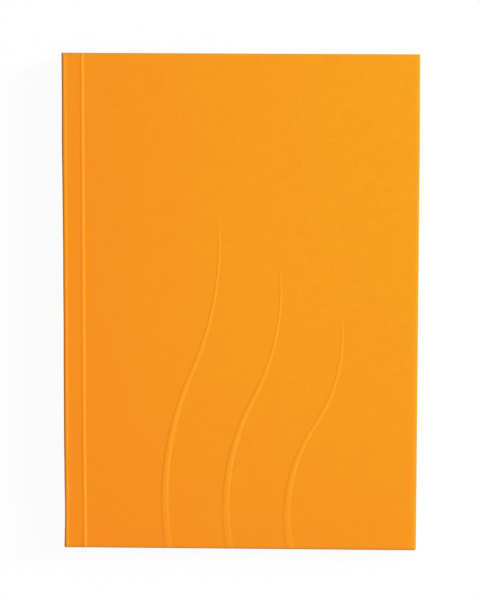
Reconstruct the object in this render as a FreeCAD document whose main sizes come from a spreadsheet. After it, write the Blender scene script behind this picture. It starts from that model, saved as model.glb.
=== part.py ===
"""A softcover notebook of 15 by 21 cm, lying on its back cover.

The leaves are one solid. Hot-melt glue holds them in a single folded sheet of card, trimmed flush
with the leaves on three sides. The sheet turns round the spine and is glued to the outer leaves up
to a crease on each side, and beyond the creases its two panels are free to open. The glued part and
the two panels are sub-parts of their own, because the panels turn on the creases.

The origin is at the middle of the underside: +X runs from the spine to the fore-edge, +Y to the
head and +Z up out of the front cover. All lengths are in millimetres.
"""

import FreeCAD, Part
import math
import os

import Sketcher

SIZES = {
    # The book as trimmed
    "trim_width": 150.0,  # spine to fore-edge
    "trim_length": 210.0,  # tail to head
    "block_thickness": 10.8,  # the leaves, closed
    # The card and its folds
    "card_thickness": 0.6,
    "inner_fold_radius": 0.4,  # inside of the two folds beside the spine
    "hinge_width": 8.5,  # spine to crease
    "bead_width": 2.0,  # raised crease of the front cover
    "bead_height": 0.2,
    "score_width": 1.2,  # pressed crease of the back cover
    "score_depth": 0.12,
    # The glue
    "spine_glue": 0.5,
    "side_glue": 0.15,
    "glue_margin": 1.1,  # the glue's turned edges to the crease
    # The ribs raised in the front cover
    "rib_count": 3,
    "rib_foot_place": 36.0,  # crease to the middle of the first rib's foot
    "rib_pitch": 26.0,  # from one foot to the next
    "rib_lean": 20.0,  # foot to tip, along X
    "rib_rise": 152.0,  # foot to tip of the first rib, along Y
    "rib_step": 23.0,  # how much shorter each next rib is
    "rib_foot_width": 3.6,
    "rib_tip_width": 0.5,
    "rib_sway": 5.5,  # how far each half of a rib bows from its chord
    "rib_relief": 0.25,
    # The hollow behind each rib
    "hollow_depth": 0.2,
    "hollow_foot_width": 2.6,
    "hollow_tip_width": 0.3,
}

# Places and lengths that several sub-parts share, as expressions on the sheet
SPINE_X = "(-Sizes.trim_width / 2)"
CREASE_X = f"({SPINE_X} + Sizes.hinge_width)"
BOOK_THICKNESS = "(Sizes.block_thickness + 2 * Sizes.card_thickness)"
LEAF_WIDTH = "(Sizes.trim_width - Sizes.card_thickness - Sizes.spine_glue)"
PANEL_WIDTH = "(Sizes.trim_width - Sizes.hinge_width)"
GLUE_REACH = "(Sizes.hinge_width - Sizes.card_thickness - Sizes.glue_margin)"
OUTER_FOLD_RADIUS = "(Sizes.inner_fold_radius + Sizes.card_thickness)"
TAIL_Y = "(-Sizes.trim_length / 2)"

CLOCKWISE = -1
ANTICLOCKWISE = 1
SAME_PLACE = 1e-6


def make_sheet(doc):
    """The spreadsheet of driving sizes, one row each, with the size's name as its alias."""
    sheet = doc.addObject("Spreadsheet::Sheet", "Sizes")
    for row, (name, value) in enumerate(SIZES.items(), start=1):
        sheet.set(f"A{row}", name)
        sheet.set(f"B{row}", str(value))
        sheet.setAlias(f"B{row}", name)
    doc.recompute()
    return sheet


def make_body(doc, label, x="0", z="0"):
    """A body whose Placement puts its own origin at x and z."""
    body = doc.addObject("PartDesign::Body", label)
    body.Label = label
    body.setExpression("Placement.Base.x", x)
    body.setExpression("Placement.Base.z", z)
    return body


def new_sketch(body, name, plane_role, height="0"):
    """A sketch on one of the body's own origin planes, or at a height above it."""
    sketch = body.newObject("Sketcher::SketchObject", name)
    planes = [plane for plane in body.Origin.OriginFeatures if plane.Role == plane_role]
    sketch.AttachmentSupport = (planes[0], "")
    sketch.MapMode = "FlatFace"
    sketch.setExpression("AttachmentOffset.Base.z", height)
    return sketch


def arc_through(start, end, radius, turn):
    """The short arc of this radius from start to end, and which of its ends start and end are."""
    chord = end - start
    across = FreeCAD.Vector(-chord.y, chord.x, 0) / chord.Length
    reach = math.sqrt(max(radius**2 - (chord.Length / 2) ** 2, 0))
    centre = (start + end) / 2 + across * reach * turn
    first, last = (start, end) if turn == ANTICLOCKWISE else (end, start)
    first_angle = math.atan2(first.y - centre.y, first.x - centre.x)
    last_angle = math.atan2(last.y - centre.y, last.x - centre.x)
    circle = Part.Circle(centre, FreeCAD.Vector(0, 0, 1), radius)
    if last_angle < first_angle:
        last_angle += 2 * math.pi
    ends = (1, 2) if turn == ANTICLOCKWISE else (2, 1)
    return Part.ArcOfCircle(circle, first_angle, last_angle), ends


def draw_outline(sketch, corners, arcs=None):
    """A closed outline through corners given as expressions, each bound to the sheet.

    arcs maps a corner's number to the radius and the turn of the arc that leaves that corner.
    """
    arcs = arcs or {}
    points = [FreeCAD.Vector(*(sketch.evalExpression(c) for c in corner), 0) for corner in corners]
    edges = []
    for i, start in enumerate(points):
        end = points[(i + 1) % len(points)]
        if i in arcs:
            radius, turn = arcs[i]
            arc, ends = arc_through(start, end, sketch.evalExpression(radius), turn)
            edges.append((sketch.addGeometry(arc), ends))
        else:
            edges.append((sketch.addGeometry(Part.LineSegment(start, end)), (1, 2)))
    for i, (edge, ends) in enumerate(edges):
        next_edge, next_ends = edges[(i + 1) % len(edges)]
        sketch.addConstraint(
            Sketcher.Constraint("Coincident", edge, ends[1], next_edge, next_ends[0])
        )
        for kind, expression in zip(("DistanceX", "DistanceY"), corners[i]):
            bind(sketch, (kind, -1, 1, edge, ends[0]), expression)
        if i in arcs:
            bind(sketch, ("Radius", edge), arcs[i][0])


def bind(sketch, constraint, expression):
    """Adds a constraint whose value follows an expression."""
    value = sketch.evalExpression(expression)
    number = sketch.addConstraint(Sketcher.Constraint(*constraint, value))
    sketch.setExpression(f"Constraints[{number}]", expression)


def pad_along_book(body, sketch):
    """The section in this sketch, drawn out from tail to head."""
    pad = body.newObject("PartDesign::Pad", "Section")
    pad.Profile = sketch
    pad.SideType = "Symmetric"
    pad.setExpression("Length", "Sizes.trim_length")
    body.Document.recompute()
    return pad


def edges_along_book(feature, places):
    """The names of the edges that run along Y at these places, each an x and a z expression."""
    targets = [tuple(feature.evalExpression(part) for part in place) for place in places]
    names = []
    for number, edge in enumerate(feature.Shape.Edges, start=1):
        first, last = (vertex.Point for vertex in (edge.Vertexes[0], edge.Vertexes[-1]))
        along_y = math.hypot(first.x - last.x, first.z - last.z) < SAME_PLACE
        near = [math.hypot(first.x - x, first.z - z) < SAME_PLACE for x, z in targets]
        if along_y and any(near):
            names.append(f"Edge{number}")
    return names


def round_folds(body, base, name, radius, places):
    """Rounds the edges along Y at these places."""
    fillet = body.newObject("PartDesign::Fillet", name)
    fillet.Base = (base, edges_along_book(base, places))
    fillet.setExpression("Radius", radius)
    body.Document.recompute()
    return fillet


def crease_radius(width, height):
    """The radius of a bead or score of this whole width and height, which is level at its middle."""
    return f"(({width}) ^ 2 / (8 * {height}) + {height} / 2)"


BEAD_RADIUS = crease_radius("Sizes.bead_width", "Sizes.bead_height")
SCORE_RADIUS = crease_radius("Sizes.score_width", "Sizes.score_depth")


def make_page_block(doc):
    """All the leaves as one solid, pressed in by the glue beside the spine.

    Its origin is at the foot of the leaves' spine edge.
    """
    body = make_body(
        doc,
        "page_block",
        f"{SPINE_X} + Sizes.card_thickness + Sizes.spine_glue",
        "Sizes.card_thickness",
    )
    glue, top = "Sizes.side_glue", "Sizes.block_thickness"
    width = f"({GLUE_REACH} - Sizes.spine_glue)"
    sketch = new_sketch(body, "LeafSection", "XZ_Plane")
    corners = [
        ("0", glue),
        (width, glue),
        (width, "0"),
        (LEAF_WIDTH, "0"),
        (LEAF_WIDTH, top),
        (width, top),
        (width, f"{top} - {glue}"),
        ("0", f"{top} - {glue}"),
    ]
    draw_outline(sketch, corners)
    pad_along_book(body, sketch)
    return body


def make_binding_glue(doc):
    """The film of glue on the leaves' spine edges, turned onto the two outer leaves.

    Its origin is at the inside corner of the back cover's fold.
    """
    body = make_body(
        doc, "binding_glue", f"{SPINE_X} + Sizes.card_thickness", "Sizes.card_thickness"
    )
    spine, side, top = "Sizes.spine_glue", "Sizes.side_glue", "Sizes.block_thickness"
    sketch = new_sketch(body, "GlueSection", "XZ_Plane")
    corners = [
        ("0", "0"),
        (GLUE_REACH, "0"),
        (GLUE_REACH, side),
        (spine, side),
        (spine, f"{top} - {side}"),
        (GLUE_REACH, f"{top} - {side}"),
        (GLUE_REACH, top),
        ("0", top),
    ]
    draw_outline(sketch, corners)
    pad = pad_along_book(body, sketch)
    round_folds(body, pad, "FoldSeats", "Sizes.inner_fold_radius", [("0", "0"), ("0", top)])
    return body


def make_cover_spine(doc):
    """The glued part of the card: the spine face, its two folds and a strip up to each crease.

    Its origin is at the outside corner of the back cover's fold.
    """
    body = make_body(doc, "cover_spine", SPINE_X, "0")
    card, crease = "Sizes.card_thickness", "Sizes.hinge_width"
    inner_top = f"{BOOK_THICKNESS} - {card}"
    sketch = new_sketch(body, "WrapSection", "XZ_Plane")
    corners = [
        ("0", "0"),
        (f"{crease} - Sizes.score_width / 2", "0"),
        (crease, "Sizes.score_depth"),
        (crease, card),
        (card, card),
        (card, inner_top),
        (crease, inner_top),
        (crease, f"{BOOK_THICKNESS} + Sizes.bead_height"),
        (f"{crease} - Sizes.bead_width / 2", BOOK_THICKNESS),
        ("0", BOOK_THICKNESS),
    ]
    arcs = {1: (SCORE_RADIUS, CLOCKWISE), 7: (BEAD_RADIUS, ANTICLOCKWISE)}
    draw_outline(sketch, corners, arcs)
    pad = pad_along_book(body, sketch)
    outer = round_folds(
        body, pad, "OuterFolds", OUTER_FOLD_RADIUS, [("0", "0"), ("0", BOOK_THICKNESS)]
    )
    round_folds(
        body, outer, "InnerFolds", "Sizes.inner_fold_radius", [(card, card), (card, inner_top)]
    )
    return body


def wave_radius(lean, rise):
    """The radius of both halves of a wavy edge that climbs by rise and leans by lean."""
    return f"((({lean}) ^ 2 + ({rise}) ^ 2) / (32 * Sizes.rib_sway) + Sizes.rib_sway / 2)"


def draw_rib(sketch, number, foot_width, tip_width):
    """One wavy, tapered outline that stands on the tail edge.

    Each of its long sides is two equal arcs that bow opposite ways and run into each other.
    """
    foot_x = f"(Sizes.rib_foot_place + {number} * Sizes.rib_pitch)"
    rise = f"(Sizes.rib_rise - {number} * Sizes.rib_step)"
    middle_width = f"({foot_width} + {tip_width}) / 2"
    levels = [
        (foot_x, TAIL_Y, foot_width),
        (f"{foot_x} + Sizes.rib_lean / 2", f"{TAIL_Y} + {rise} / 2", middle_width),
        (f"{foot_x} + Sizes.rib_lean", f"{TAIL_Y} + {rise}", tip_width),
    ]
    left_side = [(f"{x} - {width} / 2", y) for x, y, width in levels]
    right_side = [(f"{x} + {width} / 2", y) for x, y, width in levels]
    taper = f"({foot_width} - {tip_width}) / 2"
    left_radius = wave_radius(f"Sizes.rib_lean + {taper}", rise)
    right_radius = wave_radius(f"Sizes.rib_lean - {taper}", rise)
    arcs = {
        0: (left_radius, CLOCKWISE),
        1: (left_radius, ANTICLOCKWISE),
        3: (right_radius, CLOCKWISE),
        4: (right_radius, ANTICLOCKWISE),
    }
    draw_outline(sketch, left_side + right_side[::-1], arcs)


def draw_ribs(body, name, height, foot_width, tip_width):
    """A level sketch of every rib, or of the hollow behind it."""
    sketch = new_sketch(body, name, "XY_Plane", height)
    for number in range(int(sketch.evalExpression("Sizes.rib_count"))):
        draw_rib(sketch, number, foot_width, tip_width)
    return sketch


def make_front_cover(doc):
    """The free panel of the front cover, with ribs pressed up from behind.

    Its origin is on the line that it turns on, along the top of the crease's bead.
    """
    body = make_body(doc, "front_cover", CREASE_X, f"{BOOK_THICKNESS} + Sizes.bead_height")
    outside = "-Sizes.bead_height"
    inside = "-(Sizes.bead_height + Sizes.card_thickness)"
    section = new_sketch(body, "PanelSection", "XZ_Plane")
    corners = [
        ("0", inside),
        (PANEL_WIDTH, inside),
        (PANEL_WIDTH, outside),
        ("Sizes.bead_width / 2", outside),
        ("0", "0"),
    ]
    draw_outline(section, corners, {3: (BEAD_RADIUS, ANTICLOCKWISE)})
    pad_along_book(body, section)

    rib_outlines = draw_ribs(
        body, "RibOutlines", outside, "Sizes.rib_foot_width", "Sizes.rib_tip_width"
    )
    ribs = body.newObject("PartDesign::Pad", "Ribs")
    ribs.Profile = rib_outlines
    ribs.setExpression("Length", "Sizes.rib_relief")
    doc.recompute()

    hollow_outlines = draw_ribs(
        body, "HollowOutlines", inside, "Sizes.hollow_foot_width", "Sizes.hollow_tip_width"
    )
    hollows = body.newObject("PartDesign::Pocket", "Hollows")
    hollows.Profile = hollow_outlines
    hollows.setExpression("Length", "Sizes.hollow_depth")
    hollows.Reversed = True
    doc.recompute()
    if hollows.Shape.Volume >= ribs.Shape.Volume:
        raise RuntimeError("the hollows behind the ribs cut nothing")
    return body


def make_back_cover(doc):
    """The free panel of the back cover, which the book lies on.

    Its origin is on the line that it turns on, at the crease in the underside.
    """
    body = make_body(doc, "back_cover", CREASE_X, "0")
    sketch = new_sketch(body, "PanelSection", "XZ_Plane")
    corners = [
        ("0", "Sizes.score_depth"),
        ("Sizes.score_width / 2", "0"),
        (PANEL_WIDTH, "0"),
        (PANEL_WIDTH, "Sizes.card_thickness"),
        ("0", "Sizes.card_thickness"),
    ]
    draw_outline(sketch, corners, {0: (SCORE_RADIUS, CLOCKWISE)})
    pad_along_book(body, sketch)
    return body


def check_document(doc, bodies):
    """Stops with a plain message if any feature failed or any sub-part isn't one sound solid."""
    for feature in doc.Objects:
        if "Invalid" in feature.State or "Error" in feature.State:
            raise RuntimeError(f"{feature.Name} failed: {feature.State}")
    for body in bodies:
        shape = body.Shape
        if shape.isNull() or not shape.isValid() or len(shape.Solids) != 1:
            raise RuntimeError(f"{body.Label} isn't one valid solid")


def main():
    doc = FreeCAD.newDocument("softcover_notebook")
    make_sheet(doc)
    makers = [make_page_block, make_binding_glue, make_cover_spine, make_front_cover, make_back_cover]
    bodies = [make(doc) for make in makers]
    doc.recompute()
    check_document(doc, bodies)
    os.makedirs("parts", exist_ok=True)
    for body in bodies:
        body.Shape.exportStep(f"parts/{body.Label}.step")


main()
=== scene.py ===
"""The looks of a softcover notebook: a creased card cover with raised ribs, and a stack of leaves.

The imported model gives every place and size. Lengths named here are in millimetres, unless a
comment says otherwise, and are turned into metres where a mesh is made. Each mesh made here keeps
its points at rest, in millimetres, in the attribute "place", so that its pattern stays on it when
a cover opens.
"""

import math

import bmesh
import bpy
import numpy as np
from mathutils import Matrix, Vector


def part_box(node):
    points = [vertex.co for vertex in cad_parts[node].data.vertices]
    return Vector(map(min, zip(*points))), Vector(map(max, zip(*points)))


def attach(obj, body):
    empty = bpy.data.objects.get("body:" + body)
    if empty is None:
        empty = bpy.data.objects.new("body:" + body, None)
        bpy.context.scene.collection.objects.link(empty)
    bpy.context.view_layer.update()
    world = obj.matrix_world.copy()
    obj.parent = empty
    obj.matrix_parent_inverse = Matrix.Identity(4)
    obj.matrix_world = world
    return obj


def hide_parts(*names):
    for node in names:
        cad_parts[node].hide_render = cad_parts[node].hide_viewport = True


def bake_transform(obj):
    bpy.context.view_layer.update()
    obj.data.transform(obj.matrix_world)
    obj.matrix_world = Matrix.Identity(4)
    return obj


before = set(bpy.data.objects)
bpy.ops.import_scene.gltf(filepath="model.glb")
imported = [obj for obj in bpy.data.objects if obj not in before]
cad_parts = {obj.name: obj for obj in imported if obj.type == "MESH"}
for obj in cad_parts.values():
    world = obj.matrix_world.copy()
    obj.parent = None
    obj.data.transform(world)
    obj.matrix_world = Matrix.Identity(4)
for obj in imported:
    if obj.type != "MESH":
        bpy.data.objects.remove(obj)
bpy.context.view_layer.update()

METRES = 0.001  # in a millimetre


def box_mm(node):
    """A CAD node's lowest and highest corners, in millimetres."""
    low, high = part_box(node)
    return np.array(low) / METRES, np.array(high) / METRES


spine_low, spine_high = box_mm("cover_spine")
front_low, front_high = box_mm("front_cover")
back_low, back_high = box_mm("back_cover")
block_low, block_high = box_mm("page_block")
glue_high = box_mm("binding_glue")[1]

SPINE_X, CREASE_X, FORE_X = spine_low[0], spine_high[0], front_high[0]
TAIL_Y, HEAD_Y = front_low[1], front_high[1]
CARD = back_high[2] - back_low[2]
BOOK_TOP = block_high[2] + CARD
HALF = BOOK_TOP / 2
BEAD_HEIGHT = spine_high[2] - BOOK_TOP
RIB_RELIEF = front_high[2] - BOOK_TOP
GLUE_END = glue_high[0]

# ---------------------------------------------------------------- sizes of the card's details

# The folds and creases
FOLD_RADIUS = 0.9
STRIP_RISE = 0.115  # of the glued strip over the panel, beside the bead
FOLD_RIDGE = 0.08  # more of it beside the fold, where the card springs back
RIDGE_REACH = 1.1
BEAD_WIDTH = 2.0
BEAD_START = 0.03  # where along its width the bead begins, is highest and ends
BEAD_PEAK = 0.36
BEAD_END = 1.06
BEAD_MARGIN = 0.4  # how far beyond its width the closer columns reach
BEAD_STRAY = 0.2  # how far towards the fore-edge it lies by the tail
BEAD_STRAY_REACH = 35.0
BEAD_STRAY_END = 45.0  # how far from the tail it is true again
SCORE_WIDTH = 1.2
SCORE_DEPTH = 0.12

# The trimmed edges
FRONT_ARRIS = 0.18  # the knife comes from the front and draws its arris down
SHARP_ARRIS = 0.07  # the others stay sharp
OUTER_ARRIS_STEPS = 6
INNER_ARRIS_STEPS = 4
TAIL_CORNER = 0.9  # the radii of the fore-edge's corners, seen from above
HEAD_CORNER = 0.45

# How far the card's outside is pressed down at its edges, and how far in each of these is felt
FORE_DROP, FORE_DROP_REACH = 0.07, 0.7
TAIL_DROP, TAIL_DROP_REACH = 0.1, 0.4
HEAD_DROP, HEAD_DROP_REACH = 0.04, 0.5
CORNER_DROP = 0.2  # more at the tail's corner, felt across the card and along the fore-edge
CORNER_DROP_ACROSS = 2.6
CORNER_DROP_ALONG = 70.0

# How far the cuts are out of true. At the fore-edge a plus is outwards, and at the tail and the
# head it is towards the head: both of these change evenly from the spine to the fore-edge.
FORE_CUT = 0.05
FORE_CUT_AT_HEAD = -0.1
FORE_CUT_START = 45.0  # how far from the head it starts to change, and over what length it does
FORE_CUT_REACH = 40.0
TAIL_CUT = -0.1, -0.18
HEAD_CUT = 0.32, -0.12
CUT_ACROSS = 30.0  # how far into the card the fore-edge's cut is felt, and then the others'
CUT_ALONG = 40.0

# How far the spine strays inwards, how far from the tail it does so most, and over what reach
SPINE_SWELLS = ((0.18, 16, 8), (-0.15, 0, 6), (-0.08, 44, 18))
SPINE_FLARE = 0.18  # how far outwards at the head, from how far above the tail, over what length
SPINE_FLARE_START = 125.0
SPINE_FLARE_REACH = 60.0
SPINE_WAVE = 0.07
SPINE_WAVE_LENGTH = 90.0
SPINE_WAVE_SEED = 11
SPINE_STRAY_REACH = 3.0  # how far into the card its straying is felt

# The ribs' course and width, as in the solids
RIB_COUNT = 3
RIB_FOOT_PLACE = 36.0  # the first one's, from the crease
RIB_PITCH = 26.0
RIB_LEAN = 20.0  # how much nearer to the fore-edge the tip lies than the foot
RIB_RISE = 152.0  # from the first one's foot up to its tip
RIB_STEP = 23.0  # how much less each next one rises
RIB_FOOT_WIDTH = 3.6
RIB_TIP_WIDTH = 0.5
RIB_SWAY = 5.5  # how far its lower half bows to the spine and its upper half to the fore-edge

# The ribs' relief, which is softer than in the solids
RIB_PEAK = -0.5  # where a rib is highest, from -1 to 1 across it: it is steeper towards the spine
RIB_SHOULDER = 2.6  # 2 is a round rib, and more is a flatter one with steeper sides
RIB_TAPER = 0.8  # 1 is a rib that lowers as it narrows, and less is one that stays higher
RIB_AT_TAIL = 0.3  # how much of its relief the card took at the tail, where the press bit least
RIB_ABOVE = 0.65  # and how much it took further up
RIB_TAIL_REACH = 50.0  # from this far above the tail
RIB_FADE = 0.86  # how far along a rib its relief starts to fade, from 0 to 1
HOLLOW_SHARE = 0.75  # how much of a rib's width and height the hollow behind it has

# How finely the card is divided
ROW_STEP = 1.25
SPINE_STATIONS = 5
FOLD_STATIONS = 9
RIDGE_STATIONS = 13
RIDGE_END = 2.6  # how far beyond the fold the closer columns reach
STRIP_STATIONS = 4
CREASE_STATIONS = 25
RIB_STATIONS = 19
RIB_MARGIN = 1.3  # how far the closer columns reach, in half widths of the rib
RIB_LEAST_MARGIN = 0.6  # and in millimetres, where the rib is narrow
GAP_STATIONS = 6
EDGE_INSETS = (0.45, 0.7, 1.0, 1.5, 2.2, 3.2)  # of the rows and columns beside a trimmed edge

SHARP_ANGLE = math.radians(52)  # faces that meet at more than this aren't smoothed together


# ---------------------------------------------------------------- curves


def smooth_step(t):
    """A smooth rise from 0, where t is 0 or less, to 1, where t is 1 or more."""
    t = np.clip(t, 0, 1)
    return t * t * (3 - 2 * t)


def bump_around(x, middle, reach):
    """1 at the middle, falling smoothly to nothing over about twice the reach."""
    return np.exp(-(((x - middle) / reach) ** 2))


def fade(distance, reach):
    """1 at no distance, and about a third of what it was at each reach further."""
    return np.exp(-distance / reach)


def between(share, first, last):
    """What lies this share of the way from the first to the last."""
    return first + (last - first) * share


def evenly(start, end, count):
    """This many evenly spaced numbers from start up to end, with end itself left out."""
    return np.linspace(start, end, count, endpoint=False)


def waves(place, seed, spacing, octaves=3, shorter=1.7, weaker=1.5):
    """A smooth random curve along one direction, about -1 to 1, whose swells are spacing apart.

    Each octave's swells are shorter and weaker than the last one's by these factors.
    """
    random = np.random.default_rng(seed)
    total = np.zeros_like(place, dtype=float)
    for octave in range(octaves):
        length = spacing / shorter**octave
        phase = random.uniform(0, 2 * math.pi)
        total += np.sin(2 * math.pi * place / length + phase) / weaker**octave
    return total / 2


# ---------------------------------------------------------------- the ribs' course


def arc_x(y, start, end, bow):
    """X at each y on the arc from start to end that bows by this much, to the left if positive."""
    (x0, y0), (x1, y1) = start, end
    chord = math.hypot(x1 - x0, y1 - y0)
    radius = chord**2 / (8 * abs(bow)) + abs(bow) / 2
    side = math.copysign(1, bow)
    reach = radius - abs(bow)
    across = np.array([y1 - y0, x0 - x1]) / chord * side
    centre = np.array([x0 + x1, y0 + y1]) / 2 + across * reach
    return centre[0] - side * np.sqrt(np.maximum(radius**2 - (y - centre[1]) ** 2, 0))


def rib_course(number, y):
    """The middle of a rib at each y, its half width, and how strong its relief is there."""
    foot_x = CREASE_X + RIB_FOOT_PLACE + number * RIB_PITCH
    rise = RIB_RISE - number * RIB_STEP
    foot = (foot_x, TAIL_Y)
    middle = (foot_x + RIB_LEAN / 2, TAIL_Y + rise / 2)
    tip = (foot_x + RIB_LEAN, TAIL_Y + rise)
    lower = arc_x(np.minimum(y, middle[1]), foot, middle, RIB_SWAY)
    upper = arc_x(np.clip(y, middle[1], tip[1]), middle, tip, -RIB_SWAY)
    share = (y - TAIL_Y) / rise
    width = between(np.clip(share, 0, 1), RIB_FOOT_WIDTH, RIB_TIP_WIDTH)
    bitten = smooth_step((y - TAIL_Y) / RIB_TAIL_REACH)
    faded = smooth_step((share - RIB_FADE) / (1 - RIB_FADE))
    strength = between(bitten, RIB_AT_TAIL, RIB_ABOVE) - RIB_ABOVE * faded
    return np.where(y < middle[1], lower, upper), width / 2, strength


def rib_rise(x, y, width_share=1.0):
    """How far the ribs, or the hollows behind them, stand out of the card at each point."""
    total = np.zeros(np.broadcast(x, y).shape)
    for number in range(RIB_COUNT):
        middle, half, strength = rib_course(number, y)
        across = np.clip((x - middle) / (half * width_share), -1, 1)
        from_peak = (across - RIB_PEAK) / np.where(across < RIB_PEAK, 1 + RIB_PEAK, 1 - RIB_PEAK)
        body = (half / (RIB_FOOT_WIDTH / 2)) ** RIB_TAPER
        total += strength * body * (1 - np.abs(from_peak) ** RIB_SHOULDER)
    return total


# ---------------------------------------------------------------- the card cover


def card_share(x):
    """How far across the card x lies: 0 at the spine and 1 at the fore-edge."""
    return (x - SPINE_X) / (FORE_X - SPINE_X)


def bead_x(y):
    """The middle of the bead at each y: it strays a little towards the fore-edge by the tail."""
    return CREASE_X + BEAD_STRAY * smooth_step((BEAD_STRAY_END - (y - TAIL_Y)) / BEAD_STRAY_REACH)


def strip_and_bead(x, y):
    """The front cover's rise over its panel: the glued strip, then the crease's raised bead.

    The bead is steep on the spine's side, and rounds down to its foot on the panel's.
    """
    from_fold = np.maximum(x - SPINE_X - FOLD_RADIUS, 0)
    strip = STRIP_RISE + FOLD_RIDGE * bump_around(from_fold, 0, RIDGE_REACH)
    across = (x - bead_x(y)) / BEAD_WIDTH + 0.5
    climb = smooth_step((across - BEAD_START) / (BEAD_PEAK - BEAD_START))
    fall = smooth_step((across - BEAD_PEAK) / (BEAD_END - BEAD_PEAK))
    before, after = between(climb, strip, BEAD_HEIGHT), between(fall, BEAD_HEIGHT, 0)
    return np.where(across < BEAD_PEAK, before, after)


def score(x):
    """The pressed crease of the back cover."""
    across = np.clip((x - CREASE_X) / (SCORE_WIDTH / 2), -1, 1)
    return -SCORE_DEPTH * np.cos(across * math.pi / 2) ** 2


def fixed_stations():
    """The card's outside and inside from the middle of the spine to the crease's far side.

    Each is a list of x and of height out of the book's middle plane.
    """
    start = CREASE_X - BEAD_WIDTH / 2
    end = CREASE_X + BEAD_WIDTH / 2 + BEAD_MARGIN
    height = evenly(0, HALF - FOLD_RADIUS, SPINE_STATIONS)
    turn = evenly(0, math.pi / 2, FOLD_STATIONS)
    centre_x, centre_height = SPINE_X + FOLD_RADIUS, HALF - FOLD_RADIUS
    ridge = evenly(centre_x, centre_x + RIDGE_END, RIDGE_STATIONS)
    strip = evenly(centre_x + RIDGE_END, start, STRIP_STATIONS)
    flat = np.concatenate([ridge, strip, evenly(start, end, CREASE_STATIONS)])
    sides = []
    for depth in (0, CARD):
        radius = FOLD_RADIUS - depth
        x = [np.full(len(height), SPINE_X + depth), centre_x - radius * np.cos(turn), flat]
        out = [height, centre_height + radius * np.sin(turn), np.full(len(flat), HALF - depth)]
        sides.append((np.concatenate(x), np.concatenate(out)))
    return sides


def panel_stations(y, arris):
    """X of every station of the panel at each row, closer together across each rib."""
    start = np.full(len(y), CREASE_X + BEAD_WIDTH / 2 + BEAD_MARGIN)
    columns = []
    for number in range(RIB_COUNT):
        middle, half, _ = rib_course(number, y)
        margin = np.maximum(half * RIB_MARGIN, RIB_LEAST_MARGIN)
        for share in evenly(0, 1, GAP_STATIONS):
            columns.append(between(share, start, middle - margin))
        for share in evenly(-1, 1, RIB_STATIONS):
            columns.append(middle + margin * share)
        start = middle + margin
    insets = sorted((arris, *EDGE_INSETS), reverse=True)
    for share in evenly(0, 1, GAP_STATIONS):
        columns.append(between(share, start, FORE_X - insets[0]))
    columns += [np.full(len(y), FORE_X - inset) for inset in insets]
    return np.array(columns)


def rows(arris):
    """Y of every row, closer together beside the tail and the head."""
    insets = sorted((arris, *EDGE_INSETS))
    inner = TAIL_Y + insets[-1], HEAD_Y - insets[-1]
    count = round((inner[1] - inner[0]) / ROW_STEP)
    middle = np.linspace(*inner, count + 1)[1:-1]
    tail = [TAIL_Y + inset for inset in insets]
    head = [HEAD_Y - inset for inset in reversed(insets)]
    return np.concatenate([tail, middle, head])


def edge_drop(x, y):
    """How far the trimming knife and handling press the card's outside down near its edges."""
    from_fore, from_tail, from_head = FORE_X - x, y - TAIL_Y, HEAD_Y - y
    corner = CORNER_DROP * fade(from_fore, CORNER_DROP_ACROSS) * fade(from_tail, CORNER_DROP_ALONG)
    fore = FORE_DROP * fade(from_fore, FORE_DROP_REACH)
    tail = TAIL_DROP * fade(from_tail, TAIL_DROP_REACH)
    return corner + fore + tail + HEAD_DROP * fade(from_head, HEAD_DROP_REACH)


def spine_stray(x, y):
    """How far the spine strays inwards: it flares at both ends and draws in just above the tail."""
    from_tail = y - TAIL_Y
    stray = SPINE_WAVE * waves(y, SPINE_WAVE_SEED, SPINE_WAVE_LENGTH)
    for inwards, middle, reach in SPINE_SWELLS:
        stray += inwards * bump_around(from_tail, middle, reach)
    stray -= SPINE_FLARE * smooth_step((from_tail - SPINE_FLARE_START) / SPINE_FLARE_REACH)
    return stray * (1 - smooth_step((x - SPINE_X) / SPINE_STRAY_REACH))


def card_grids(outward, arris):
    """The outside and inside of half the cover as grids of points, station by row.

    outward is 1 for the front half and -1 for the back half.
    """
    y = rows(arris)
    (outer_x, outer_out), (inner_x, inner_out) = fixed_stations()
    panel_x = panel_stations(y, arris)
    grids = []
    for is_outer, x, out in ((True, outer_x, outer_out), (False, inner_x, inner_out)):
        plane = HALF if is_outer else HALF - CARD
        whole_x = np.concatenate([np.repeat(x[:, None], len(y), axis=1), panel_x])
        whole_out = np.concatenate(
            [np.repeat(out[:, None], len(y), axis=1), np.full(panel_x.shape, plane)]
        )
        whole_y = np.broadcast_to(y, whole_x.shape)
        turned = smooth_step((np.abs(whole_out) - HALF + FOLD_RADIUS) / FOLD_RADIUS)
        if outward > 0:
            share = 1.0 if is_outer else HOLLOW_SHARE
            whole_out = whole_out + RIB_RELIEF * share * rib_rise(whole_x, whole_y, share)
        if is_outer:
            crease = strip_and_bead(whole_x, whole_y) if outward > 0 else score(whole_x)
            whole_out = whole_out + (crease - edge_drop(whole_x, whole_y)) * turned
        whole_x = whole_x + spine_stray(whole_x, whole_y)
        grids.append(np.stack([whole_x, whole_y, HALF + outward * whole_out], axis=-1))
    return grids


def round_corners(x, y):
    """Moves points near the two fore-edge corners so that the outline turns there on a radius."""
    for corner_y, side, radius in ((TAIL_Y, -1, TAIL_CORNER), (HEAD_Y, 1, HEAD_CORNER)):
        across = (x - (FORE_X - radius)) / radius
        along = side * (y - (corner_y - side * radius)) / radius
        inside = (across > 0) & (along > 0)
        length = np.hypot(across, along)
        pull = np.where(inside, np.maximum(across, along) / np.maximum(length, 1e-9), 1)
        x = np.where(inside, FORE_X - radius + radius * across * pull, x)
        y = np.where(inside, corner_y - side * radius + side * radius * along * pull, y)
    return x, y


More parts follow.
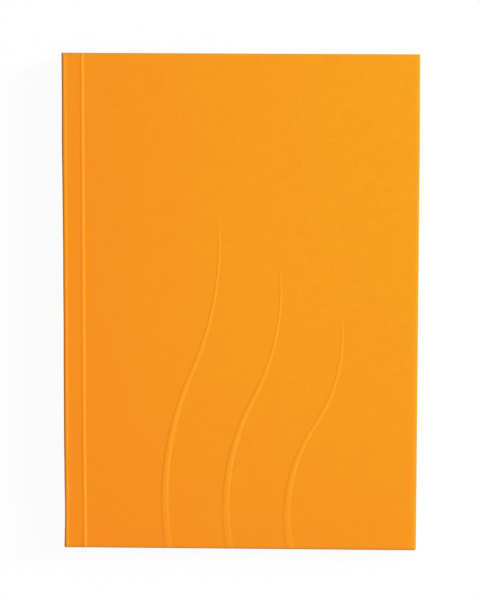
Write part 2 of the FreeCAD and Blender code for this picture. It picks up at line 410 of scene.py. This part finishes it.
def trimmed(x, y):
    """Where the knife leaves each point: round at the corners, and its cuts a hair out of true.

    The fore-edge draws in towards the head, and the head falls from the spine to the fore-edge.
    """
    x, y = round_corners(x, y)
    by_head = smooth_step((y - HEAD_Y + FORE_CUT_START) / FORE_CUT_REACH)
    fore = between(by_head, FORE_CUT, FORE_CUT_AT_HEAD)
    fore = fore * smooth_step((x - FORE_X + CUT_ACROSS) / CUT_ACROSS)
    tail = between(card_share(x), *TAIL_CUT) * smooth_step((TAIL_Y - y + CUT_ALONG) / CUT_ALONG)
    head = between(card_share(x), *HEAD_CUT) * smooth_step((y - HEAD_Y + CUT_ALONG) / CUT_ALONG)
    return x + fore, y + head + tail


def arris_steps(arris):
    """Steps down a trimmed edge: how far each stands out of the inset outline, and its depth."""
    steps = []
    for turn in np.linspace(0, math.pi / 2, OUTER_ARRIS_STEPS):
        steps.append((arris * math.sin(turn), arris * (1 - math.cos(turn))))
    for turn in np.linspace(math.pi / 2, 0, INNER_ARRIS_STEPS):
        out = arris - SHARP_ARRIS * (1 - math.sin(turn))
        steps.append((out, CARD - SHARP_ARRIS * (1 - math.cos(turn))))
    return steps


def trimmed_border(shape):
    """The places in a grid along the tail, up the fore-edge and back along the head."""
    last_station, last_row = shape[0] - 1, shape[1] - 1
    border = [(u, 0) for u in range(last_station)]
    border += [(last_station, v) for v in range(last_row)]
    return border + [(u, last_row) for u in range(last_station, -1, -1)]


def edge_rings(outer, inner, border, arris):
    """Rings of points down the trimmed edges, between the card's outside and its inside."""
    last_station, last_row = outer.shape[0] - 1, outer.shape[1] - 1
    rings = []
    for out, depth in arris_steps(arris)[1:]:
        ring = []
        for u, v in border:
            point = outer[u, v] + (inner[u, v] - outer[u, v]) * depth / CARD
            point[1] += out * ((v == last_row) - (v == 0))
            point[0] += out * (u == last_station)
            ring.append(point)
        rings.append(ring)
    return np.array(rings)


def card_faces(outer, inner, rings):
    """The faces of the outside, the inside, the trimmed edges and the flat end."""
    last_station, last_row = outer.shape[0] - 1, outer.shape[1] - 1
    faces = []
    for u in range(last_station):
        for v in range(last_row):
            a, b, c, d = outer[u : u + 2, v : v + 2].ravel()
            faces.append((a, b, d, c))
            a, b, c, d = inner[u : u + 2, v : v + 2].ravel()
            faces.append((a, c, d, b))
    for upper, lower in zip(rings, rings[1:]):
        for i in range(len(upper) - 1):
            faces.append((upper[i], upper[i + 1], lower[i + 1], lower[i]))
    for v in range(last_row):
        faces.append((outer[0, v], outer[0, v + 1], inner[0, v + 1], inner[0, v]))
    faces.append([ring[0] for ring in rings])
    faces.append([ring[-1] for ring in rings])
    return faces


def build_card_mesh(name, outward, arris):
    """Half the cover as one closed mesh: outside, inside, rounded trimmed edges and a flat end.

    The flat end lies against the other half, along the middle of the spine.
    """
    outer, inner = card_grids(outward, arris)
    border = trimmed_border(outer.shape)
    edges = edge_rings(outer, inner, border, arris)
    outer_at = np.arange(outer[..., 0].size).reshape(outer.shape[:2])
    inner_at = outer_at + outer_at.size
    edges_at = 2 * outer_at.size + np.arange(edges[..., 0].size).reshape(edges.shape[:2])
    along = tuple(zip(*border))
    faces = card_faces(outer_at, inner_at, [outer_at[along], *edges_at, inner_at[along]])
    places = np.concatenate([part.reshape(-1, 3) for part in (outer, inner, edges)])
    places[:, 0], places[:, 1] = trimmed(places[:, 0], places[:, 1])
    return make_piece(name, places, faces)


def make_piece(name, places, faces):
    """An object of these points, in millimetres, and faces, turned outwards and smooth."""
    mesh = bpy.data.meshes.new(name)
    mesh.from_pydata((places * METRES).tolist(), [], [[int(i) for i in face] for face in faces])
    work = bmesh.new()
    work.from_mesh(mesh)
    bmesh.ops.recalc_face_normals(work, faces=work.faces)
    work.to_mesh(mesh)
    work.free()
    mesh.polygons.foreach_set("use_smooth", [True] * len(mesh.polygons))
    mesh.set_sharp_from_angle(angle=SHARP_ANGLE)
    place = mesh.attributes.new("place", "FLOAT_VECTOR", "POINT")
    place.data.foreach_set("vector", places.astype(np.float32).ravel())
    mesh.validate()
    piece = bpy.data.objects.new(name, mesh)
    bpy.context.scene.collection.objects.link(piece)
    return piece


# ---------------------------------------------------------------- the card's tones, with painted light and shade

# How far the card leans to its yellower orange, from 0 to 1: a painted light gradient, brighter
# towards the fore-edge's head on the key light's side, and darker and redder by the spine and the
# tail
YELLOW_AT_SPINE = 0.167
YELLOW_TO_FORE = 0.367  # how much more at the fore-edge, at the head and where those two meet
YELLOW_TO_HEAD = 0.15
YELLOW_TO_CORNER = 0.317
PAINTED_SHEEN = 0.14  # and in a wide swell of painted sheen, whose place and reach are shares of the card's sides
SWELL_ACROSS = 0.53, 0.36
SWELL_ALONG = 0.44, 0.34
REDDER_TAIL, REDDER_TAIL_REACH = 0.067, 18.0

# Stripes along the folds and the bead: how strong, how far towards the fore-edge, and their reach.
# The highlights are painted on the sides that face the key light, and the shade on the sides that
# turn away from it.
HIGHLIGHT_BESIDE_FOLD = 0.6, 1.5, 0.42
HIGHLIGHT_ON_BEAD = 0.65, 0.4, 0.45
SHADE_BEAD = 0.21, -0.7, 0.35
# painted shade on the spine's fold, which turns away from the key light
SHADE_FOLD = 1.0, 0.0, 0.57
SHADE_FOLD_FULL = 0.3  # how far down the spine from the cover's face it is full, and is gone
SHADE_FOLD_END = 1.2

# Stripes along the ribs: how strong, and their place and reach in half widths of the rib. The crest
# has some rubbing and a painted highlight, the side towards the fore-edge a painted highlight, and
# the side towards the spine painted shade.
RUB_AND_HIGHLIGHT_CREST = 0.4, 0.1, 0.7
HIGHLIGHT_ON_FLANK = 1.3, 0.75, 0.25
SHADE_FLANK = 0.22, -0.85, 0.3

# Tones at the trimmed edges, and how far in they are felt: a paler worn tone, a darker fore-edge
# and head, and painted shade on the tail edge, which faces away from the key light
WORN_FORE, WORN_FORE_REACH = 0.4, 0.5
WORN_FORE_FRONT = 0.45  # how much more on the front
WORN_CORNER, WORN_CORNER_REACH = 0.5, 1.2
WORN_HEAD = 0.4
DARKER_FORE, DARKER_FORE_REACH = 0.5, 0.15
# painted shade on the tail edge, which faces away from the key light
SHADE_TAIL = 1.0
DARKER_HEAD = 0.2
DARKER_HEAD_SPINE = 0.45  # how much more by the spine
ENDS_REACH = 0.35


def stripe(distance, strength, middle, reach):
    """A soft stripe of this strength, whose middle is at this distance."""
    return strength * bump_around(distance, middle, reach)


def rib_stripe(x, y, strength, middle, reach):
    """A stripe along every rib, at this place from -1 to 1 across it, as strong as its relief."""
    total = np.zeros(x.shape)
    for number in range(RIB_COUNT):
        rib_x, half, relief = rib_course(number, y)
        total += relief * stripe((x - rib_x) / half, strength, middle, reach)
    return total


def painted_light_drift(x, y):
    """A painted light gradient: darker and redder at the spine and tail, brighter and yellower at
    the fore-edge's head, with a swell of painted sheen.
    """
    across = card_share(x)
    along = (y - TAIL_Y) / (HEAD_Y - TAIL_Y)
    swell = PAINTED_SHEEN * bump_around(across, *SWELL_ACROSS) * bump_around(along, *SWELL_ALONG)
    slope = across * (YELLOW_TO_FORE + YELLOW_TO_CORNER * along) + YELLOW_TO_HEAD * along
    return YELLOW_AT_SPINE + slope + swell - REDDER_TAIL * fade(y - TAIL_Y, REDDER_TAIL_REACH)


def card_tones(x, y, z):
    """The card's tones at each point: its painted light gradient with painted shade beside the bead
    and ribs, its painted highlights and rubbing, its worn cut edge, and its painted shade and
    darker edges.
    """
    from_fore = np.maximum(FORE_X - x, 0)
    from_tail = np.maximum(y - TAIL_Y, 0)
    from_head = np.maximum(HEAD_Y - y, 0)
    from_corner = np.hypot(from_fore, np.minimum(from_tail, from_head))
    from_face = HALF - np.abs(z - HALF)
    outside = from_face < CARD / 2
    front = z > BOOK_TOP - CARD / 2
    by_fold = smooth_step((SHADE_FOLD_END - from_face) / (SHADE_FOLD_END - SHADE_FOLD_FULL))
    by_spine = DARKER_HEAD_SPINE * (1 - card_share(x)) ** 2
    # painted shade on the bead's and ribs' sides towards the spine, which turn away from the key
    # light
    redder = stripe(x - bead_x(y), *SHADE_BEAD) + rib_stripe(x, y, *SHADE_FLANK)
    # painted highlights beside the spine's fold and on the bead's and ribs' sides towards the key
    # light, with some rubbing on the rib crests
    rub_and_highlight = [
        stripe(x - SPINE_X, *HIGHLIGHT_BESIDE_FOLD) * outside,
        stripe(x - bead_x(y), *HIGHLIGHT_ON_BEAD) * front,
        rib_stripe(x, y, *RUB_AND_HIGHLIGHT_CREST) * front,
        rib_stripe(x, y, *HIGHLIGHT_ON_FLANK) * front,
    ]
    worn = [
        (WORN_FORE + WORN_FORE_FRONT * front) * fade(from_fore, WORN_FORE_REACH),
        WORN_CORNER * fade(from_corner, WORN_CORNER_REACH),
        WORN_HEAD * fade(from_head, ENDS_REACH),
    ]
    # painted shade on the spine's fold and on the tail edge, which turn away from the key light,
    # and a darker fore-edge and head
    shade_and_dark_edges = [
        stripe(x - SPINE_X, *SHADE_FOLD) * by_fold,
        DARKER_FORE * fade(from_fore, DARKER_FORE_REACH),
        SHADE_TAIL * fade(from_tail, ENDS_REACH),
        (DARKER_HEAD + by_spine) * fade(from_head, ENDS_REACH),
    ]
    return {
        # painted light gradient and sheen, less the painted shade on the bead's and ribs' sides
        # towards the spine
        "painted_light_tone": painted_light_drift(x, y) - redder * front,
        "rub_and_highlight": np.maximum.reduce(rub_and_highlight),
        "worn": np.maximum.reduce(worn),
        "shade_and_dark_edges": np.maximum.reduce(shade_and_dark_edges),
    }


def add_numbers(piece, name, values):
    """Stores a number for each point of the piece, for its material."""
    attribute = piece.data.attributes.new(name, "FLOAT", "POINT")
    attribute.data.foreach_set("value", np.asarray(values, np.float32))


def add_tones(piece):
    """Stores the card's tones at each point of the piece."""
    places = np.empty(len(piece.data.vertices) * 3, np.float32)
    piece.data.attributes["place"].data.foreach_get("vector", places)
    for name, values in card_tones(*places.reshape(-1, 3).T.astype(float)).items():
        add_numbers(piece, name, values)


# ---------------------------------------------------------------- the leaves

LEAF_SEED = 5
LEAF_COUNT = 96
LEAF_GAP = 0.006  # between two leaves, on average
GAP_UNEVENNESS = 1.3
LEAF_SHIFT = 0.02  # how far a leaf's trimmed edge may lie behind its neighbours'
LEAF_CLUMP = 0.06  # how far a clump of leaves may lie behind the cover's edge
SHIFT_CLUMP = 2, 9  # the fewest leaves in a clump, and one more than the most
SHIFT_END = 1.0  # how far from the fore-edge the whole of a leaf's shift is felt
TINT_CLUMP = 3, 9
TINT_LEAST = 0.4  # of an edge, and how much more its clump and the leaf itself may add
TINT_BY_CLUMP = 0.45
TINT_BY_LEAF = 0.15
EDGE_WIDTH = 0.2  # points this near a trimmed edge take its tint
GLUE_SIDE = 0.15  # the glue on the outer leaves, which presses the block in
PRESS_REACH = 1.2  # how far beyond the glue that is still felt

# Where a leaf is divided: from the glue's end, from the fore-edge, and from the tail and the head
GLUED_STATIONS = (0, 0.5, PRESS_REACH)
FORE_STATIONS = (3, 1, 0.4, 0)
END_ROWS = (0, 0.4, 1, 3)
END_REACH = 5.0  # the rows this near the tail or the head move with that edge
FREE_STATIONS, FREE_MARGIN = 7, 12.0
MIDDLE_ROWS, MIDDLE_MARGIN = 9, 15.0


def leaf_outline():
    """Stations and rows of one leaf, closer together beside its glued and trimmed edges."""
    glued = [block_low[0], (block_low[0] + GLUE_END) / 2]
    glued += [GLUE_END + station for station in GLUED_STATIONS]
    free = np.linspace(GLUE_END + FREE_MARGIN, FORE_X - FREE_MARGIN, FREE_STATIONS)
    fore = [FORE_X - station for station in FORE_STATIONS]
    tail = [TAIL_Y + row for row in END_ROWS]
    middle = np.linspace(TAIL_Y + MIDDLE_MARGIN, HEAD_Y - MIDDLE_MARGIN, MIDDLE_ROWS)
    head = [HEAD_Y - row for row in reversed(END_ROWS)]
    return np.concatenate([glued, free, fore]), np.concatenate([tail, middle, head])


def in_clumps(random, fewest, end):
    """A random number from 0 to 1 for each leaf, the same for some leaves that lie together."""
    clump = np.repeat(random.uniform(0, 1, LEAF_COUNT), random.integers(fewest, end, LEAF_COUNT))
    return clump[:LEAF_COUNT]


def leaf_shifts(random):
    """How far each leaf's edge lies behind the cover's."""
    clumps = LEAF_CLUMP * in_clumps(random, *SHIFT_CLUMP)
    return clumps + LEAF_SHIFT * random.uniform(0, 1, LEAF_COUNT)


def leaf_heights(random):
    """The bottom and top of each leaf, with uneven gaps between them."""
    gaps = random.exponential(1, LEAF_COUNT - 1) ** GAP_UNEVENNESS
    gaps *= LEAF_GAP * (LEAF_COUNT - 1) / gaps.sum()
    thickness = (block_high[2] - block_low[2] - gaps.sum()) / LEAF_COUNT
    gaps_below = np.concatenate([[0], np.cumsum(gaps)])
    bottom = block_low[2] + thickness * np.arange(LEAF_COUNT) + gaps_below
    return bottom, bottom + thickness


def edge_tints(random, grid_x, grid_y):
    """How far each point of all the leaves takes the tint of the trimmed edges."""
    tints = TINT_LEAST + TINT_BY_CLUMP * in_clumps(random, *TINT_CLUMP)
    tints += TINT_BY_LEAF * random.uniform(0, 1, LEAF_COUNT)
    at_end = (grid_y < TAIL_Y + EDGE_WIDTH) | (grid_y > HEAD_Y - EDGE_WIDTH)
    at_edge = at_end | (grid_x > FORE_X - EDGE_WIDTH)
    return np.concatenate([np.tile(at_edge.ravel(), 2) * tint for tint in tints])


def leaf_points(grid_x, grid_y, shifts, heights):
    """The points of one leaf: first those at its bottom, and then those at its top."""
    fore, tail, head = shifts
    share = smooth_step((grid_x - FORE_X + FREE_MARGIN) / (FREE_MARGIN - SHIFT_END))
    by_tail, by_head = grid_y < TAIL_Y + END_REACH, grid_y > HEAD_Y - END_REACH
    x, y = trimmed(grid_x - fore * share, grid_y + tail * by_tail - head * by_head)
    pressed = 1 - 2 * GLUE_SIDE / (block_high[2] - block_low[2])
    press = between(smooth_step((grid_x - GLUE_END) / PRESS_REACH), pressed, 1)
    sides = [np.stack([x, y, HALF + (height - HALF) * press], axis=-1) for height in heights]
    return np.concatenate(sides).reshape(-1, 3)


def leaf_faces(under, over):
    """The faces of one leaf: its bottom, its top and its four edges."""
    last_station, last_row = under.shape[0] - 1, under.shape[1] - 1
    faces = []
    for u in range(last_station):
        for v in range(last_row):
            faces.append((under[u, v], under[u, v + 1], under[u + 1, v + 1], under[u + 1, v]))
            faces.append((over[u, v], over[u + 1, v], over[u + 1, v + 1], over[u, v + 1]))
    border = trimmed_border(under.shape) + [(0, v) for v in range(last_row - 1, 0, -1)]
    for first, second in zip(border, border[1:] + border[:1]):
        faces.append((under[first], under[second], over[second], over[first]))
    return faces


def build_leaves():
    """The page block as loose leaves, each a thin closed sheet with its own small shift."""
    random = np.random.default_rng(LEAF_SEED)
    grid_x, grid_y = np.meshgrid(*leaf_outline(), indexing="ij")
    under = np.arange(grid_x.size).reshape(grid_x.shape)
    shifts = zip(leaf_shifts(random), leaf_shifts(random), leaf_shifts(random))
    heights = zip(*leaf_heights(random))
    points, faces = [], []
    for leaf_shift, sides in zip(shifts, heights):
        points.append(leaf_points(grid_x, grid_y, leaf_shift, sides))
        faces += leaf_faces(under, under + under.size)
        under = under + 2 * under.size
    leaves = make_piece("leaves", np.concatenate(points), faces)
    add_numbers(leaves, "edge_tint", edge_tints(random, grid_x, grid_y))
    return leaves


# ---------------------------------------------------------------- materials

# Patterns: scale is how many swells they have to a millimetre
CLOUD = {"scale": 0.09, "detail": 3}
BLOTCH = {"scale": 0.2, "detail": 2}
MOTTLE = {"scale": 0.55, "detail": 3}
FIBRE = {"scale": 1.4, "detail": 3, "stretch": (1, 0.45, 1)}
GRAIN = {"scale": 5, "detail": 2}
PAPER_CLOUD = {"scale": 0.25, "detail": 4}
PAPER_FIBRE = {"scale": 2.5, "detail": 3, "stretch": (1, 0.3, 1)}
GLUE_LUMP = {"scale": 900, "detail": 2}  # to a metre, because the glue's own mesh is in metres
SLOW_PATTERN = {"start": 0.36, "end": 0.64}  # the range of one with only a few swells in view

# The card
# The ends of the painted light gradient: the darker, redder side and the brighter, yellower side
ORANGE_REDDER = (0.94, 0.24, 0.0067)
ORANGE_YELLOWER = (0.959, 0.384, 0.0026)
ORANGE_SHADED = (0.78, 0.29, 0.003)
ORANGE_SOILED = (0.84, 0.245, 0.01)
# painted highlight, and rubbing on the rib crests
ORANGE_RUB_AND_HIGHLIGHT = (0.94, 0.42, 0.02)
ORANGE_WORN = (0.72, 0.56, 0.05)
# painted shade on the fold and the tail edge, and the darker fore-edge and head
ORANGE_SHADE_AND_DARK_EDGE = (0.56, 0.19, 0.03)
CLOUD_DRIFT = 0.017  # how much yellower or redder the clouds are
BLOTCH_SHARE = 0.1  # how far each pattern colours the card at most
MOTTLE_SHARE = 0.21
FIBRE_SHARE = 0.19
SMUDGE_SHARE = 0.3
SMUDGE_FROM_FORE, SMUDGE_FROM_HEAD, SMUDGE_REACH = 7.8, 27.2, 2.2
RUB_AND_HIGHLIGHT_LEAST = 0.45  # how much of the painted highlight and rubbing tone is left where the fibres lie deepest
CARD_ROUGHNESS = 0.58, 0.7
RUB_AND_HIGHLIGHT_ROUGHER = 0.15
CARD_SPECULAR = 0.18
GRAIN_HEIGHT = 0.01
FIBRE_HEIGHT = 0.02

# The paper
PAPER = (0.83, 0.79, 0.69)
PAPER_PALER = (0.86, 0.83, 0.74)
PAPER_FIBRES = (0.78, 0.73, 0.62)
PAPER_EDGE = (0.52, 0.465, 0.365)  # of the leaves that took most dust and dye from the knife
PAPER_CLOUD_SHARE = 0.5
PAPER_FIBRE_SHARE = 0.3
PAPER_ROUGHNESS = 0.78, 0.92
PAPER_SPECULAR = 0.2
PAPER_FIBRE_HEIGHT = 0.02

# The glue
GLUE = (0.78, 0.69, 0.48)
GLUE_PALER = (0.84, 0.77, 0.6)
GLUE_ROUGHNESS = 0.35, 0.55
GLUE_LUMP_HEIGHT = 0.05


class Nodes:
    """The nodes of a material or a world, and short ways to add to them."""

    def __init__(self, owner, shader="Principled BSDF"):
        owner.use_nodes = True
        self.owner = owner
        self.tree = owner.node_tree
        self.shader = self.tree.nodes[shader]

    def node(self, kind, **settings):
        """A new node, whose inputs and own settings have these values."""
        made = self.tree.nodes.new(kind)
        for name, value in settings.items():
            if name in made.inputs:
                made.inputs[name].default_value = value
            else:
                setattr(made, name, value)
        return made

    def put(self, value, socket):
        """Gives a socket a number, a colour or what comes out of another socket."""
        if isinstance(value, tuple):
            socket.default_value = (*value, 1)
        elif isinstance(value, (int, float)):
            socket.default_value = value
        else:
            self.tree.links.new(value, socket)

    def surface(self, **inputs):
        """Sets the shader's inputs, named here with _ where their own names have a space."""
        for name, value in inputs.items():
            self.put(value, self.shader.inputs[name.replace("_", " ")])

    def attribute(self, name, output="Fac"):
        """What the mesh stores under this name."""
        return self.node("ShaderNodeAttribute", attribute_name=name).outputs[output]

    def noise(self, place, scale, detail, stretch=(1, 1, 1)):
        """A noise pattern with about this many swells to each unit of place."""
        mapping = self.node("ShaderNodeMapping", Scale=stretch)
        self.put(place, mapping.inputs["Vector"])
        made = self.node("ShaderNodeTexNoise", Scale=scale, Detail=detail)
        self.put(mapping.outputs["Vector"], made.inputs["Vector"])
        return made.outputs["Fac"]

    def spread(self, value, low, high, start=0.3, end=0.7):
        """value from start to end, turned into a number from low to high."""
        limits = {"From Min": start, "From Max": end, "To Min": low, "To Max": high}
        made = self.node("ShaderNodeMapRange", **limits)
        self.put(value, made.inputs["Value"])
        return made.outputs["Result"]

    def math(self, operation, first, second):
        """What this operation makes of two numbers or sockets."""
        made = self.node("ShaderNodeMath", operation=operation)
        self.put(first, made.inputs[0])
        self.put(second, made.inputs[1])
        return made.outputs[0]

    def mix(self, share, first, second):
        """A mix of two colours, each a socket or red, green and blue."""
        made = self.node("ShaderNodeMix", data_type="RGBA")
        for index, value in ((0, share), (6, first), (7, second)):
            self.put(value, made.inputs[index])
        return made.outputs[2]

    def bump(self, height, distance, under=None):
        """A bump of this height in millimetres, over another bump if one is given."""
        made = self.node("ShaderNodeBump", Strength=1.0, Distance=distance * METRES)
        self.put(height, made.inputs["Height"])
        if under:
            self.put(under, made.inputs["Normal"])
        return made.outputs["Normal"]


def painted_light_and_blotches(card, place):
    """The card's colour: its painted light gradient, sheen and shade, with slow clouds and
    blotches.
    """
    clouds = card.spread(card.noise(place, **CLOUD), -CLOUD_DRIFT, CLOUD_DRIFT, **SLOW_PATTERN)
    # The stored tone is painted light: a gradient, a sheen, and painted shade beside the bead and
    # ribs
    painted_light_tone = card.math("ADD", card.attribute("painted_light_tone"), clouds)
    colour = card.mix(painted_light_tone, ORANGE_REDDER, ORANGE_YELLOWER)
    blotches = card.spread(card.noise(place, **BLOTCH), 0, BLOTCH_SHARE, **SLOW_PATTERN)
    return card.mix(blotches, colour, ORANGE_SHADED)


def soiled(card, place, fibre, colour):
    """The colour with a mottle, its fibres and one small smudge near the fore-edge's head."""
    mottle = card.spread(card.noise(place, **MOTTLE), 0, MOTTLE_SHARE)
    colour = card.mix(mottle, colour, ORANGE_SOILED)
    colour = card.mix(card.spread(fibre, 0, FIBRE_SHARE), colour, ORANGE_SOILED)
    away = card.node("ShaderNodeVectorMath", operation="DISTANCE")
    card.put(place, away.inputs[0])
    away.inputs[1].default_value = (FORE_X - SMUDGE_FROM_FORE, HEAD_Y - SMUDGE_FROM_HEAD, BOOK_TOP)
    smudge = card.spread(away.outputs["Value"], SMUDGE_SHARE, 0, 0, SMUDGE_REACH)
    return card.mix(card.math("MULTIPLY", smudge, fibre), colour, ORANGE_SOILED)


def card_material():
    """Dyed card with a soft matte coat: a fine grain, a painted light gradient and sheen, painted
    highlights and shade at the fold, bead and ribs, some rubbing on the rib crests, a paler worn
    cut edge and darker edges.
    """
    card = Nodes(bpy.data.materials.new("orange_card"))
    place = card.attribute("place", "Vector")
    fibre = card.noise(place, **FIBRE)
    grain = card.noise(place, **GRAIN)
    rub_and_highlight_mask = card.attribute("rub_and_highlight")
    rub_and_highlight = card.math("MULTIPLY", rub_and_highlight_mask, card.spread(fibre, RUB_AND_HIGHLIGHT_LEAST, 1))
    colour = soiled(card, place, fibre, painted_light_and_blotches(card, place))
    # painted highlights beside the fold and on the bead's and ribs' lit sides, with some rubbing on
    # the rib crests
    colour = card.mix(rub_and_highlight, colour, ORANGE_RUB_AND_HIGHLIGHT)
    colour = card.mix(card.attribute("worn"), colour, ORANGE_WORN)
    # painted shade on the spine's fold and the tail edge, and a darker fore-edge and head
    colour = card.mix(card.attribute("shade_and_dark_edges"), colour, ORANGE_SHADE_AND_DARK_EDGE)
    rougher = card.math("MULTIPLY", rub_and_highlight_mask, RUB_AND_HIGHLIGHT_ROUGHER)
    card.surface(
        Base_Color=colour,
        Roughness=card.math("ADD", card.spread(grain, *CARD_ROUGHNESS), rougher),
        Specular_IOR_Level=CARD_SPECULAR,
        Normal=card.bump(fibre, FIBRE_HEIGHT, under=card.bump(grain, GRAIN_HEIGHT)),
    )
    return card.owner


def paper_material():
    """Uncoated off-white paper: cloudy, with short fibres, and a little greyer at its edges."""
    paper = Nodes(bpy.data.materials.new("uncoated_paper"))
    place = paper.attribute("place", "Vector")
    cloud = paper.noise(place, **PAPER_CLOUD)
    fibre = paper.noise(place, **PAPER_FIBRE)
    colour = paper.mix(paper.spread(cloud, 0, PAPER_CLOUD_SHARE), PAPER, PAPER_PALER)
    colour = paper.mix(paper.spread(fibre, 0, PAPER_FIBRE_SHARE), colour, PAPER_FIBRES)
    paper.surface(
        Base_Color=paper.mix(paper.attribute("edge_tint"), colour, PAPER_EDGE),
        Roughness=paper.spread(fibre, *PAPER_ROUGHNESS),
        Specular_IOR_Level=PAPER_SPECULAR,
        Normal=paper.bump(fibre, PAPER_FIBRE_HEIGHT),
    )
    return paper.owner


def glue_material():
    """Set hot-melt glue: waxy, cream and slightly uneven."""
    glue = Nodes(bpy.data.materials.new("hot_melt_glue"))
    coordinates = glue.node("ShaderNodeTexCoord").outputs["Object"]
    lump = glue.noise(coordinates, **GLUE_LUMP)
    glue.surface(
        Base_Color=glue.mix(glue.spread(lump, 0, 1), GLUE, GLUE_PALER),
        Roughness=glue.spread(lump, *GLUE_ROUGHNESS),
        Normal=glue.bump(lump, GLUE_LUMP_HEIGHT),
    )
    return glue.owner


# ---------------------------------------------------------------- the pieces


def make_covers(material):
    """The front and the back half of the cover, each with its own crease."""
    for name, outward, arris, body, nodes in (
        ("front_card", 1, FRONT_ARRIS, "front", ("front_cover", "cover_spine")),
        ("back_card", -1, SHARP_ARRIS, "back", ("back_cover",)),
    ):
        piece = build_card_mesh(name, outward, arris)
        add_tones(piece)
        piece.data.materials.append(material)
        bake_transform(piece)
        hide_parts(*nodes)


def make_leaves(material):
    """The leaves, which stay where the page block is."""
    leaves = build_leaves()
    leaves.data.materials.append(material)
    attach(leaves, "block")
    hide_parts("page_block")


def dress_glue(material):
    """Gives the binding glue's own solid its material."""
    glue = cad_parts["binding_glue"]
    for slot in glue.material_slots:
        slot.material = material


# ---------------------------------------------------------------- floor, light and camera

WHITE = (1, 1, 1)
FLOOR_REACH = 6000.0
FLOOR_FALL = 6.8  # how far it has fallen by the fore-edge of the back cover when that lies open
FLOOR_COLUMNS = 40
FLOOR_TONE = 0.5  # how much light the floor sends back at the notebook
SHADOW_SHARE = 0.07  # how much of the shadow on the white floor is seen
KEY_SHARE = 0.46  # of the light on a level surface; the rest comes from the white room
KEY_AZIMUTH = 20.0  # from the fore-edge's side, turned a little towards the head
KEY_ELEVATION = 28.0
KEY_ANGLE = 16.0  # how wide the key light is
SENSOR = 36
LENS = 135
CAMERA_PLACE = (0.03, 0.0979, 0.9565)  # in metres
CAMERA_TURNS = (-5.813, 1.836, 0.102)  # in degrees


def seen_rays(nodes):
    """1 for rays that show the background: from the camera, or by way of a shine or glass."""
    rays = nodes.node("ShaderNodeLightPath")
    seen = nodes.math("MAXIMUM", rays.outputs["Is Camera Ray"], rays.outputs["Is Glossy Ray"])
    return nodes.math("MAXIMUM", seen, rays.outputs["Is Transmission Ray"])


def floor_height(x):
    """Level under the fore-edge, then falling away towards the spine and beyond, in a slow curve.

    So the back cover stays above the floor when it lies open beside the spine.
    """
    share = (FORE_X - x) / (2 * (FORE_X - CREASE_X))
    return -FLOOR_FALL * np.where(share < 1, np.maximum(share, 0) ** 2, 2 * share - 1)


def floor_material():
    """White with a faint shadow where it is seen, and grey to the light that it sends back."""
    white = Nodes(bpy.data.materials.new("white_floor"))
    seen = seen_rays(white)
    white.surface(
        Base_Color=white.mix(seen, (FLOOR_TONE,) * 3, (SHADOW_SHARE,) * 3),
        Roughness=1.0,
        Specular_IOR_Level=0.0,
        Emission_Color=WHITE,
        Emission_Strength=white.math("MULTIPLY", seen, 1 - SHADOW_SHARE),
    )
    return white.owner


def make_floor(material):
    """A wide floor, which curves from under the fore-edge to where the opened back cover ends."""
    curve = np.linspace(2 * CREASE_X - FORE_X, FORE_X, FLOOR_COLUMNS)
    x = np.concatenate([[-FLOOR_REACH], curve, [FLOOR_REACH]])
    ends = [[(a, y, z) for a, z in zip(x, floor_height(x))] for y in (-FLOOR_REACH, FLOOR_REACH)]
    count = len(x)
    faces = [(i, i + 1, count + i + 1, count + i) for i in range(count - 1)]
    floor = make_piece("floor", np.concatenate(ends), faces)
    floor.data.materials.append(material)


def make_key_light():
    """A wide light from the fore-edge's side, low enough to draw the relief."""
    lamp = bpy.data.lights.new("key_light", "SUN")
    turn, rise = math.radians(KEY_AZIMUTH), math.radians(KEY_ELEVATION)
    lamp.energy = KEY_SHARE * math.pi / math.sin(rise)
    lamp.angle = math.radians(KEY_ANGLE)
    level = math.cos(rise)
    away = Vector((math.cos(turn) * level, math.sin(turn) * level, math.sin(rise)))
    holder = bpy.data.objects.new("key_light", lamp)
    bpy.context.scene.collection.objects.link(holder)
    holder.location = away
    holder.rotation_mode = "QUATERNION"
    holder.rotation_quaternion = away.to_track_quat("Z", "Y")


def make_room():
    """A white room all round, which lights the notebook evenly and is seen as white."""
    room = Nodes(bpy.data.worlds.new("room"), "Background")
    strength = room.spread(seen_rays(room), 1 - KEY_SHARE, 1, 0, 1)
    room.surface(Color=WHITE, Strength=strength)
    bpy.context.scene.world = room.owner


def make_camera():
    """A long lens from above, a little towards the head and the fore-edge from the middle."""
    data = bpy.data.cameras.new("camera")
    data.sensor_width = SENSOR
    data.lens = LENS
    camera = bpy.data.objects.new("camera", data)
    bpy.context.scene.collection.objects.link(camera)
    camera.location = CAMERA_PLACE
    camera.rotation_euler = [math.radians(angle) for angle in CAMERA_TURNS]
    bpy.context.scene.camera = camera


make_covers(card_material())
make_leaves(paper_material())
dress_glue(glue_material())
make_floor(floor_material())
make_key_light()
make_room()
make_camera()
bpy.context.scene.view_settings.view_transform = "Standard"
